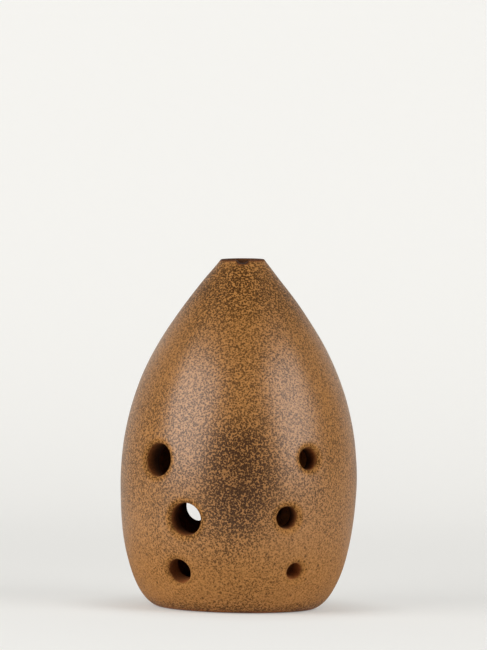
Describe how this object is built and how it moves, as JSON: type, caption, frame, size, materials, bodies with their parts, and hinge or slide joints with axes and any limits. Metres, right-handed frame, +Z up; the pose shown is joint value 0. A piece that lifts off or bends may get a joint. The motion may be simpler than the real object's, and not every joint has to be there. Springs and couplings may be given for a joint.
{
  "type": "xun vessel flute",
  "caption": "Pear-shaped clay vessel flute with a blow hole and notched edge on top, finger holes on the front, thumb holes at the back and a flat foot.",
  "frame": {"origin": "centre of the foot, on the surface the flute stands on", "axes": "+Z up through the mouth, -Y is the front with the finger holes, +X is the right side seen from the front"},
  "size_m": [0.075, 0.075, 0.11],
  "materials": {
    "speckled_glaze": "satin ochre-brown glaze with fine dark iron speckle",
    "bare_clay": "unglazed reddish-brown clay",
    "slip": "fired slip, fettled flush"
  },
  "bodies": {
    "root": {"crown": "speckled_glaze", "belly": "speckled_glaze", "base_disc": "bare_clay", "shoulder_slip": "slip", "foot_slip": "slip"}
  },
  "joints": []
}
